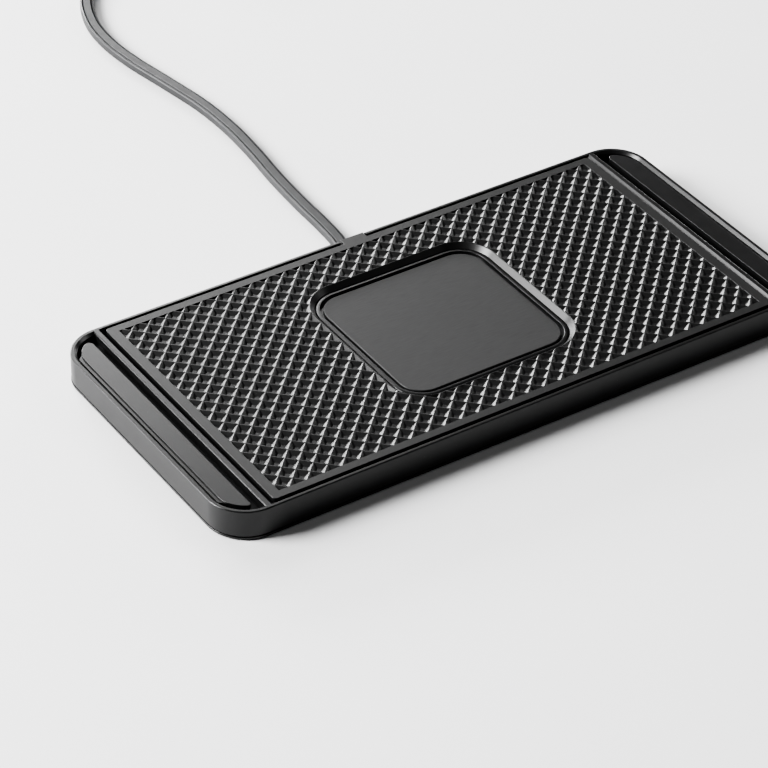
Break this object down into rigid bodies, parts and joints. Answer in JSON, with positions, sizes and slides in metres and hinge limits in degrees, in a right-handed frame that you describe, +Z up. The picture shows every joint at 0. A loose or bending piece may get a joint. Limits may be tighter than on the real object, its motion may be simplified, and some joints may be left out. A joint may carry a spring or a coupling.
{
  "type": "wireless charging pad",
  "caption": "Flat rectangular charging pad with a ridged grip mat round a smooth centre plate, raised end bars and a captive flat cable ending in a rectangular plug.",
  "frame": {"origin": "centre of the pad's footprint on the table plane, at the middle of the anti-slip sheet's underside", "axes": "+Z up from the table, X along the pad's length, +Y towards the back where the cable leaves"},
  "size_m": [0.2, 0.2914, 0.0099],
  "materials": {
    "housing": "satin black moulded plastic",
    "bar": "satin black moulded plastic",
    "silicone": "matte black silicone",
    "plate": "soft-touch black with fine brushed grain",
    "cable": "satin charcoal jacket",
    "copper": "enamelled copper",
    "ferrite": "matte sintered ferrite",
    "shield": "plain sheet",
    "board": "green solder mask",
    "chip": "moulded epoxy",
    "ceramic": "fired ceramic",
    "steel": "nickel plated",
    "insulation_red": "extruded insulation",
    "insulation_black": "extruded insulation",
    "contact": "gold plated"
  },
  "bodies": {
    "pad": {"housing_shell": "housing", "base_cover": "housing", "end_bar_left": "bar", "end_bar_right": "bar", "grip_mat": "silicone", "charging_plate": "plate", "cable_grommet": "silicone", "transmitter_coil": "copper", "ferrite_sheet": "ferrite", "shield_plate": "shield", "temperature_sensor": "insulation_black", "coil_lead_inner": "copper", "coil_lead_outer": "copper", "supply_wire_positive": "insulation_red", "supply_wire_negative": "insulation_black", "circuit_board": "board", "controller_chip": "chip", "driver_chip_front": "chip", "driver_chip_back": "chip", "filter_inductor": "ferrite", "input_capacitor": "ceramic", "resonance_capacitor_1": "ceramic", "resonance_capacitor_2": "ceramic", "resonance_capacitor_3": "ceramic", "resonance_capacitor_4": "ceramic", "base_screw_1": "steel", "base_screw_2": "steel", "base_screw_3": "steel", "base_screw_4": "steel", "base_screw_5": "steel", "base_screw_6": "steel", "base_screw_7": "steel", "base_screw_8": "steel", "anti_slip_sheet": "silicone"},
    "cable": {"charging_cable": "cable", "plug_overmould": "cable", "plug_shell": "steel", "plug_tongue": "chip", "plug_contact_1": "contact", "plug_contact_2": "contact", "plug_contact_3": "contact", "plug_contact_4": "contact"}
  },
  "joints": [
    {"name": "cable_flex", "type": "hinge", "parent": "pad", "child": "cable", "pos_m": [0.0002, 0.05035, 0.0016], "axis": [0, 0, 1], "range_deg": [-25, 25]}
  ]
}
